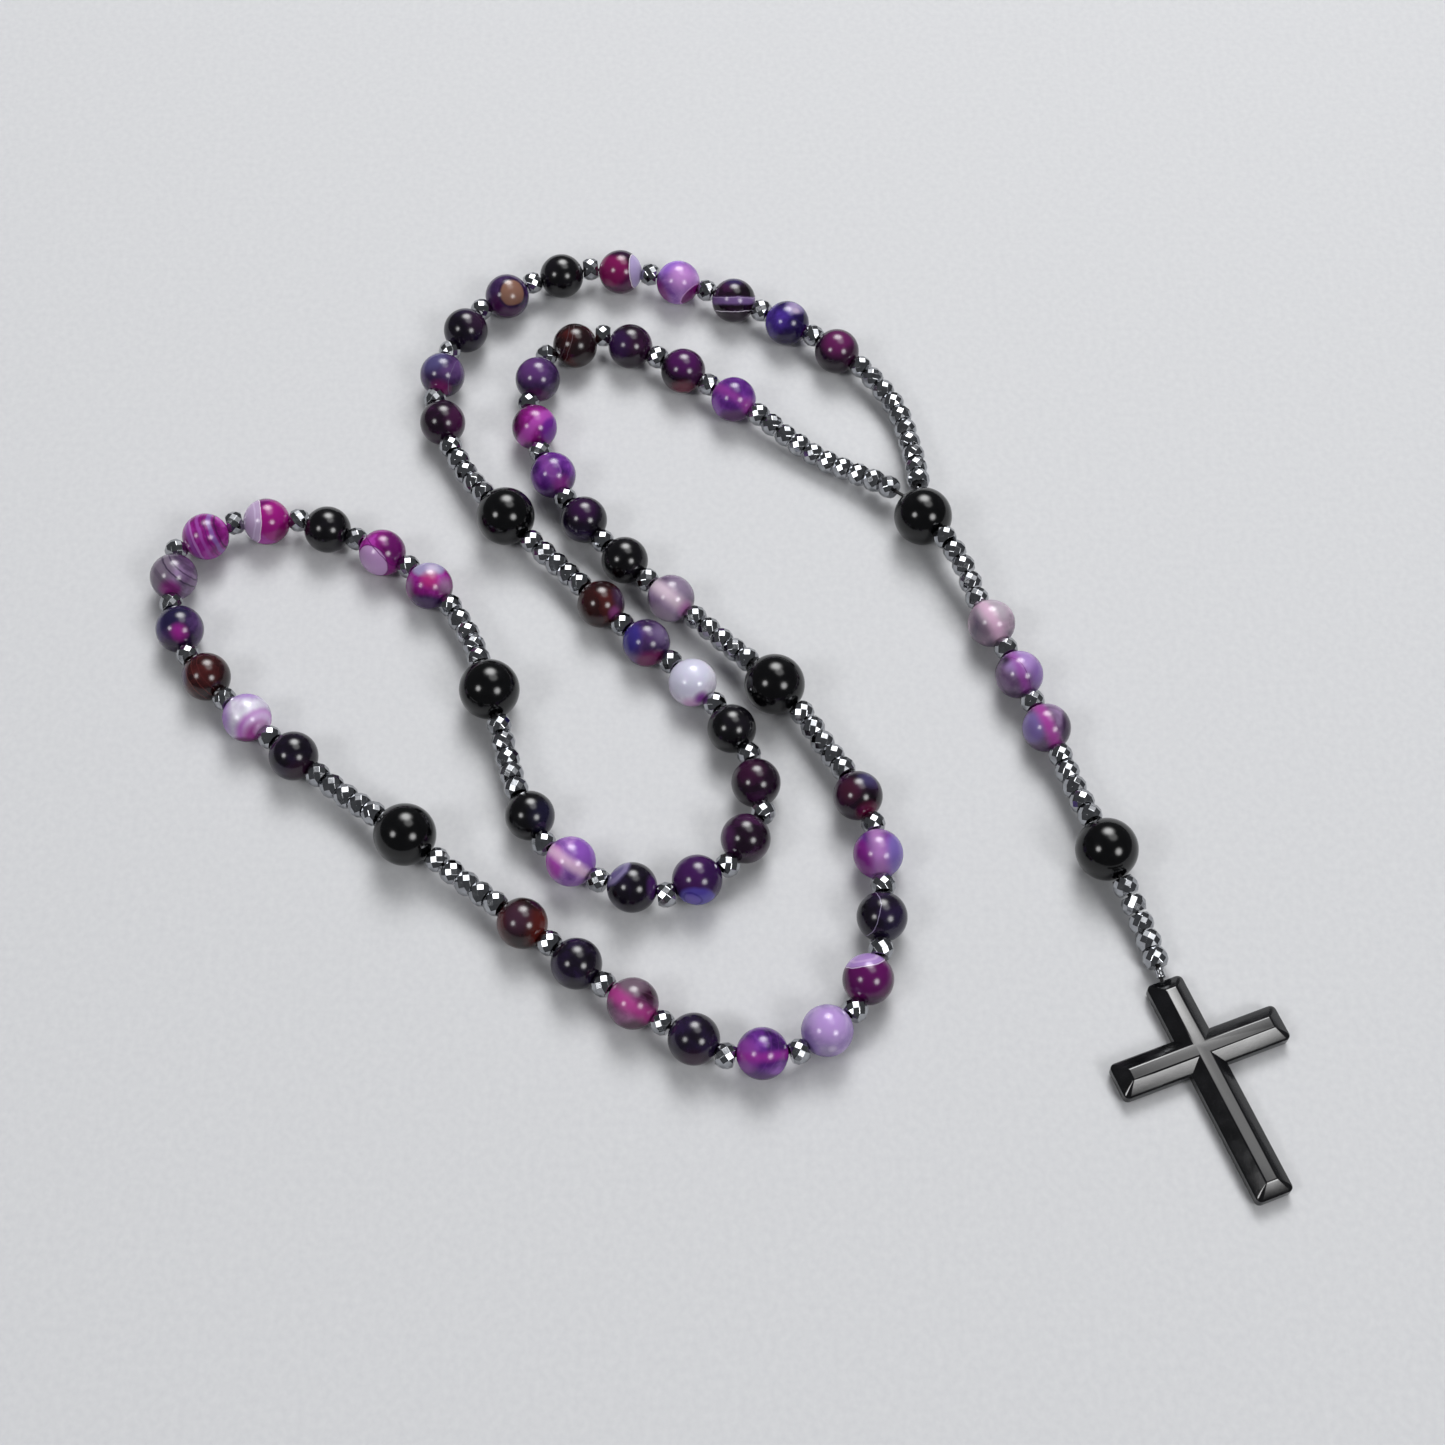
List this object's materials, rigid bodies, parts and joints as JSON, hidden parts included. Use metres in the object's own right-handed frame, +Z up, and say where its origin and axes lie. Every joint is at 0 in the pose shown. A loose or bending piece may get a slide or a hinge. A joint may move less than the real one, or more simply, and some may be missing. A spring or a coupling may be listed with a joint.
{
  "type": "rosary",
  "caption": "Prayer beads: round banded stone beads on a thread loop with small faceted spacers, larger black beads between the groups, and a bevelled cross on the drop.",
  "frame": {"origin": "on the table, under the middle of the laid-out rosary's box", "axes": "+Z up from the table, +X to the right and +Y away as the beads are laid out, with the cross at the near right"},
  "size_m": [0.1836, 0.1814, 0.01],
  "materials": {
    "banded_agate": "polished banded agate, dyed purple",
    "hematite_rondelles": "polished faceted hematite, on a black thread with polished black onyx",
    "black_onyx": "polished black onyx"
  },
  "bodies": {
    "strand_1": {"strand_1": "hematite_rondelles"},
    "strand_2": {"strand_2": "hematite_rondelles"},
    "strand_3": {"strand_3": "hematite_rondelles"},
    "strand_4": {"strand_4": "hematite_rondelles"},
    "strand_5": {"strand_5": "hematite_rondelles"},
    "drop_strand": {"drop_strand": "hematite_rondelles"},
    "cross": {"cross": "black_onyx"},
    "agate_1_01": {"agate_1_01": "banded_agate"},
    "agate_1_02": {"agate_1_02": "banded_agate"},
    "agate_1_03": {"agate_1_03": "banded_agate"},
    "agate_1_04": {"agate_1_04": "banded_agate"},
    "agate_1_05": {"agate_1_05": "banded_agate"},
    "agate_1_06": {"agate_1_06": "banded_agate"},
    "agate_1_07": {"agate_1_07": "banded_agate"},
    "agate_1_08": {"agate_1_08": "banded_agate"},
    "agate_1_09": {"agate_1_09": "banded_agate"},
    "agate_1_10": {"agate_1_10": "banded_agate"},
    "agate_2_01": {"agate_2_01": "banded_agate"},
    "agate_2_02": {"agate_2_02": "banded_agate"},
    "agate_2_03": {"agate_2_03": "banded_agate"},
    "agate_2_04": {"agate_2_04": "banded_agate"},
    "agate_2_05": {"agate_2_05": "banded_agate"},
    "agate_2_06": {"agate_2_06": "banded_agate"},
    "agate_2_07": {"agate_2_07": "banded_agate"},
    "agate_2_08": {"agate_2_08": "banded_agate"},
    "agate_2_09": {"agate_2_09": "banded_agate"},
    "agate_2_10": {"agate_2_10": "banded_agate"},
    "agate_3_01": {"agate_3_01": "banded_agate"},
    "agate_3_02": {"agate_3_02": "banded_agate"},
    "agate_3_03": {"agate_3_03": "banded_agate"},
    "agate_3_04": {"agate_3_04": "banded_agate"},
    "agate_3_05": {"agate_3_05": "banded_agate"},
    "agate_3_06": {"agate_3_06": "banded_agate"},
    "agate_3_07": {"agate_3_07": "banded_agate"},
    "agate_3_08": {"agate_3_08": "banded_agate"},
    "agate_3_09": {"agate_3_09": "banded_agate"},
    "agate_3_10": {"agate_3_10": "banded_agate"},
    "agate_4_01": {"agate_4_01": "banded_agate"},
    "agate_4_02": {"agate_4_02": "banded_agate"},
    "agate_4_03": {"agate_4_03": "banded_agate"},
    "agate_4_04": {"agate_4_04": "banded_agate"},
    "agate_4_05": {"agate_4_05": "banded_agate"},
    "agate_4_06": {"agate_4_06": "banded_agate"},
    "agate_4_07": {"agate_4_07": "banded_agate"},
    "agate_4_08": {"agate_4_08": "banded_agate"},
    "agate_4_09": {"agate_4_09": "banded_agate"},
    "agate_4_10": {"agate_4_10": "banded_agate"},
    "agate_5_01": {"agate_5_01": "banded_agate"},
    "agate_5_02": {"agate_5_02": "banded_agate"},
    "agate_5_03": {"agate_5_03": "banded_agate"},
    "agate_5_04": {"agate_5_04": "banded_agate"},
    "agate_5_05": {"agate_5_05": "banded_agate"},
    "agate_5_06": {"agate_5_06": "banded_agate"},
    "agate_5_07": {"agate_5_07": "banded_agate"},
    "agate_5_08": {"agate_5_08": "banded_agate"},
    "agate_5_09": {"agate_5_09": "banded_agate"},
    "agate_5_10": {"agate_5_10": "banded_agate"},
    "agate_drop_1": {"agate_drop_1": "banded_agate"},
    "agate_drop_2": {"agate_drop_2": "banded_agate"},
    "agate_drop_3": {"agate_drop_3": "banded_agate"}
  },
  "joints": [
    {"name": "drop_swing", "type": "hinge", "parent": "strand_1", "child": "drop_strand", "pos_m": [0.04, 0.03, 0.005], "axis": [0, 0, 1], "range_deg": [-18, 60]},
    {"name": "cross_lift", "type": "hinge", "parent": "drop_strand", "child": "cross", "pos_m": [0.0734, -0.056, 0.0015], "axis": [-0.9336, -0.3584, 0], "range_deg": [0, 42]},
    {"name": "fold_at_centre", "type": "hinge", "parent": "strand_1", "child": "strand_5", "pos_m": [0.04, 0.03, 0.005], "axis": [0, 1, 0], "range_deg": [0, 60]},
    {"name": "fold_at_first_onyx", "type": "hinge", "parent": "strand_1", "child": "strand_2", "pos_m": [-0.032, 0.03, 0.005], "axis": [-0.9934, 0.115, 0], "range_deg": [0, 60]},
    {"name": "fold_at_fourth_onyx", "type": "hinge", "parent": "strand_5", "child": "strand_4", "pos_m": [0.014, -0.004, 0.005], "axis": [-1, 0, 0], "range_deg": [0, 75]},
    {"name": "fold_at_second_onyx", "type": "hinge", "parent": "strand_2", "child": "strand_3", "pos_m": [-0.033, -0.005, 0.005], "axis": [0, 1, 0], "range_deg": [0, 75]},
    {"name": "spin_agate_1_01", "type": "hinge", "parent": "strand_1", "child": "agate_1_01", "pos_m": [0.02613, 0.06742, 0.004], "axis": [-0.756, 0.6546, 0], "continuous": true},
    {"name": "spin_agate_1_02", "type": "hinge", "parent": "strand_1", "child": "agate_1_02", "pos_m": [0.0172, 0.07403, 0.004], "axis": [-0.8458, 0.5334, 0], "continuous": true},
    {"name": "spin_agate_1_03", "type": "hinge", "parent": "strand_1", "child": "agate_1_03", "pos_m": [0.00747, 0.07941, 0.004], "axis": [-0.9016, 0.4326, 0], "continuous": true},
    {"name": "spin_agate_1_04", "type": "hinge", "parent": "strand_1", "child": "agate_1_04", "pos_m": [-0.00278, 0.08375, 0.004], "axis": [-0.9386, 0.3451, 0], "continuous": true},
    {"name": "spin_agate_1_05", "type": "hinge", "parent": "strand_1", "child": "agate_1_05", "pos_m": [-0.01354, 0.08633, 0.004], "axis": [-0.9929, 0.1188, 0], "continuous": true},
    {"name": "spin_agate_1_06", "type": "hinge", "parent": "strand_1", "child": "agate_1_06", "pos_m": [-0.02438, 0.08532, 0.004], "axis": [-0.9539, -0.3, 0], "continuous": true},
    {"name": "spin_agate_1_07", "type": "hinge", "parent": "strand_1", "child": "agate_1_07", "pos_m": [-0.03425, 0.08044, 0.004], "axis": [-0.8168, -0.577, 0], "continuous": true},
    {"name": "spin_agate_1_08", "type": "hinge", "parent": "strand_1", "child": "agate_1_08", "pos_m": [-0.04141, 0.0723, 0.004], "axis": [-0.4689, -0.8833, 0], "continuous": true},
    {"name": "spin_agate_1_09", "type": "hinge", "parent": "strand_1", "child": "agate_1_09", "pos_m": [-0.04502, 0.0619, 0.004], "axis": [-0.1796, -0.9837, 0], "continuous": true},
    {"name": "spin_agate_1_10", "type": "hinge", "parent": "strand_1", "child": "agate_1_10", "pos_m": [-0.04429, 0.05113, 0.004], "axis": [0.3111, -0.9504, 0], "continuous": true},
    {"name": "spin_agate_2_01", "type": "hinge", "parent": "strand_2", "child": "agate_2_01", "pos_m": [-0.01512, 0.01246, 0.004], "axis": [0.6744, -0.7384, 0], "continuous": true},
    {"name": "spin_agate_2_02", "type": "hinge", "parent": "strand_2", "child": "agate_2_02", "pos_m": [-0.00733, 0.0047, 0.004], "axis": [0.7403, -0.6722, 0], "continuous": true},
    {"name": "spin_agate_2_03", "type": "hinge", "parent": "strand_2", "child": "agate_2_03", "pos_m": [0.00043, -0.00309, 0.004], "axis": [0.6698, -0.7426, 0], "continuous": true},
    {"name": "spin_agate_2_04", "type": "hinge", "parent": "strand_2", "child": "agate_2_04", "pos_m": [0.00691, -0.01193, 0.004], "axis": [0.5062, -0.8624, 0], "continuous": true},
    {"name": "spin_agate_2_05", "type": "hinge", "parent": "strand_2", "child": "agate_2_05", "pos_m": [0.0108, -0.02207, 0.004], "axis": [0.201, -0.9796, 0], "continuous": true},
    {"name": "spin_agate_2_06", "type": "hinge", "parent": "strand_2", "child": "agate_2_06", "pos_m": [0.00908, -0.03219, 0.004], "axis": [-0.5139, -0.8578, 0], "continuous": true},
    {"name": "spin_agate_2_07", "type": "hinge", "parent": "strand_2", "child": "agate_2_07", "pos_m": [0.00141, -0.03953, 0.004], "axis": [-0.8796, -0.4756, 0], "continuous": true},
    {"name": "spin_agate_2_08", "type": "hinge", "parent": "strand_2", "child": "agate_2_08", "pos_m": [-0.00879, -0.04086, 0.004], "axis": [-0.9722, 0.234, 0], "continuous": true},
    {"name": "spin_agate_2_09", "type": "hinge", "parent": "strand_2", "child": "agate_2_09", "pos_m": [-0.01856, -0.03629, 0.004], "axis": [-0.8034, 0.5954, 0], "continuous": true},
    {"name": "spin_agate_2_10", "type": "hinge", "parent": "strand_2", "child": "agate_2_10", "pos_m": [-0.0254, -0.02807, 0.004], "axis": [-0.4383, 0.8988, 0], "continuous": true},
    {"name": "spin_agate_3_01", "type": "hinge", "parent": "strand_3", "child": "agate_3_01", "pos_m": [-0.04437, 0.01614, 0.004], "axis": [-0.6909, 0.7229, 0], "continuous": true},
    {"name": "spin_agate_3_02", "type": "hinge", "parent": "strand_3", "child": "agate_3_02", "pos_m": [-0.05285, 0.02302, 0.004], "axis": [-0.8504, 0.5261, 0], "continuous": true},
    {"name": "spin_agate_3_03", "type": "hinge", "parent": "strand_3", "child": "agate_3_03", "pos_m": [-0.06268, 0.02788, 0.004], "axis": [-0.9344, 0.3561, 0], "continuous": true},
    {"name": "spin_agate_3_04", "type": "hinge", "parent": "strand_3", "child": "agate_3_04", "pos_m": [-0.07333, 0.02955, 0.004], "axis": [-0.9986, -0.0525, 0], "continuous": true},
    {"name": "spin_agate_3_05", "type": "hinge", "parent": "strand_3", "child": "agate_3_05", "pos_m": [-0.08353, 0.0264, 0.004], "axis": [-0.8543, -0.5198, 0], "continuous": true},
    {"name": "spin_agate_3_06", "type": "hinge", "parent": "strand_3", "child": "agate_3_06", "pos_m": [-0.088, 0.01803, 0.004], "axis": [0.0419, -0.9991, 0], "continuous": true},
    {"name": "spin_agate_3_07", "type": "hinge", "parent": "strand_3", "child": "agate_3_07", "pos_m": [-0.0857, 0.00743, 0.004], "axis": [0.3756, -0.9268, 0], "continuous": true},
    {"name": "spin_agate_3_08", "type": "hinge", "parent": "strand_3", "child": "agate_3_08", "pos_m": [-0.08015, -0.00193, 0.004], "axis": [0.6328, -0.7743, 0], "continuous": true},
    {"name": "spin_agate_3_09", "type": "hinge", "parent": "strand_3", "child": "agate_3_09", "pos_m": [-0.07257, -0.00988, 0.004], "axis": [0.743, -0.6693, 0], "continuous": true},
    {"name": "spin_agate_3_10", "type": "hinge", "parent": "strand_3", "child": "agate_3_10", "pos_m": [-0.06424, -0.01708, 0.004], "axis": [0.7703, -0.6377, 0], "continuous": true},
    {"name": "spin_agate_4_01", "type": "hinge", "parent": "strand_4", "child": "agate_4_01", "pos_m": [-0.02576, -0.04707, 0.004], "axis": [0.7886, -0.6149, 0], "continuous": true},
    {"name": "spin_agate_4_02", "type": "hinge", "parent": "strand_4", "child": "agate_4_02", "pos_m": [-0.01712, -0.05395, 0.004], "axis": [0.7764, -0.6303, 0], "continuous": true},
    {"name": "spin_agate_4_03", "type": "hinge", "parent": "strand_4", "child": "agate_4_03", "pos_m": [-0.00829, -0.06059, 0.004], "axis": [0.8205, -0.5716, 0], "continuous": true},
    {"name": "spin_agate_4_04", "type": "hinge", "parent": "strand_4", "child": "agate_4_04", "pos_m": [0.00107, -0.06643, 0.004], "axis": [0.8742, -0.4856, 0], "continuous": true},
    {"name": "spin_agate_4_05", "type": "hinge", "parent": "strand_4", "child": "agate_4_05", "pos_m": [0.01141, -0.06877, 0.004], "axis": [0.9981, 0.0618, 0], "continuous": true},
    {"name": "spin_agate_4_06", "type": "hinge", "parent": "strand_4", "child": "agate_4_06", "pos_m": [0.02129, -0.06504, 0.004], "axis": [0.7908, 0.6121, 0], "continuous": true},
    {"name": "spin_agate_4_07", "type": "hinge", "parent": "strand_4", "child": "agate_4_07", "pos_m": [0.02778, -0.05656, 0.004], "axis": [0.3836, 0.9235, 0], "continuous": true},
    {"name": "spin_agate_4_08", "type": "hinge", "parent": "strand_4", "child": "agate_4_08", "pos_m": [0.03028, -0.04595, 0.004], "axis": [0.0691, 0.9976, 0], "continuous": true},
    {"name": "spin_agate_4_09", "type": "hinge", "parent": "strand_4", "child": "agate_4_09", "pos_m": [0.03006, -0.03495, 0.004], "axis": [-0.1096, 0.994, 0], "continuous": true},
    {"name": "spin_agate_4_10", "type": "hinge", "parent": "strand_4", "child": "agate_4_10", "pos_m": [0.02717, -0.02442, 0.004], "axis": [-0.4126, 0.9109, 0], "continuous": true},
    {"name": "spin_agate_5_01", "type": "hinge", "parent": "strand_5", "child": "agate_5_01", "pos_m": [-0.00332, 0.01364, 0.004], "axis": [-0.7344, 0.6787, 0], "continuous": true},
    {"name": "spin_agate_5_02", "type": "hinge", "parent": "strand_5", "child": "agate_5_02", "pos_m": [-0.01132, 0.02146, 0.004], "axis": [-0.6954, 0.7186, 0], "continuous": true},
    {"name": "spin_agate_5_03", "type": "hinge", "parent": "strand_5", "child": "agate_5_03", "pos_m": [-0.01854, 0.02998, 0.004], "axis": [-0.5952, 0.8036, 0], "continuous": true},
    {"name": "spin_agate_5_04", "type": "hinge", "parent": "strand_5", "child": "agate_5_04", "pos_m": [-0.02426, 0.03954, 0.004], "axis": [-0.4261, 0.9047, 0], "continuous": true},
    {"name": "spin_agate_5_05", "type": "hinge", "parent": "strand_5", "child": "agate_5_05", "pos_m": [-0.02793, 0.05006, 0.004], "axis": [-0.2294, 0.9733, 0], "continuous": true},
    {"name": "spin_agate_5_06", "type": "hinge", "parent": "strand_5", "child": "agate_5_06", "pos_m": [-0.02783, 0.06092, 0.004], "axis": [0.2477, 0.9688, 0], "continuous": true},
    {"name": "spin_agate_5_07", "type": "hinge", "parent": "strand_5", "child": "agate_5_07", "pos_m": [-0.02137, 0.06871, 0.004], "axis": [0.9064, 0.4224, 0], "continuous": true},
    {"name": "spin_agate_5_08", "type": "hinge", "parent": "strand_5", "child": "agate_5_08", "pos_m": [-0.0113, 0.06854, 0.004], "axis": [0.8919, -0.4522, 0], "continuous": true},
    {"name": "spin_agate_5_09", "type": "hinge", "parent": "strand_5", "child": "agate_5_09", "pos_m": [-0.00168, 0.06287, 0.004], "axis": [0.8274, -0.5616, 0], "continuous": true},
    {"name": "spin_agate_5_10", "type": "hinge", "parent": "strand_5", "child": "agate_5_10", "pos_m": [0.00739, 0.05633, 0.004], "axis": [0.7941, -0.6077, 0], "continuous": true},
    {"name": "spin_agate_drop_1", "type": "hinge", "parent": "drop_strand", "child": "agate_drop_1", "pos_m": [0.0506, 0.00862, 0.004], "axis": [0.3923, -0.9198, 0], "continuous": true},
    {"name": "spin_agate_drop_2", "type": "hinge", "parent": "drop_strand", "child": "agate_drop_2", "pos_m": [0.0546, -0.00154, 0.004], "axis": [0.3406, -0.9402, 0], "continuous": true},
    {"name": "spin_agate_drop_3", "type": "hinge", "parent": "drop_strand", "child": "agate_drop_3", "pos_m": [0.05838, -0.01178, 0.004], "axis": [0.3528, -0.9357, 0], "continuous": true}
  ]
}
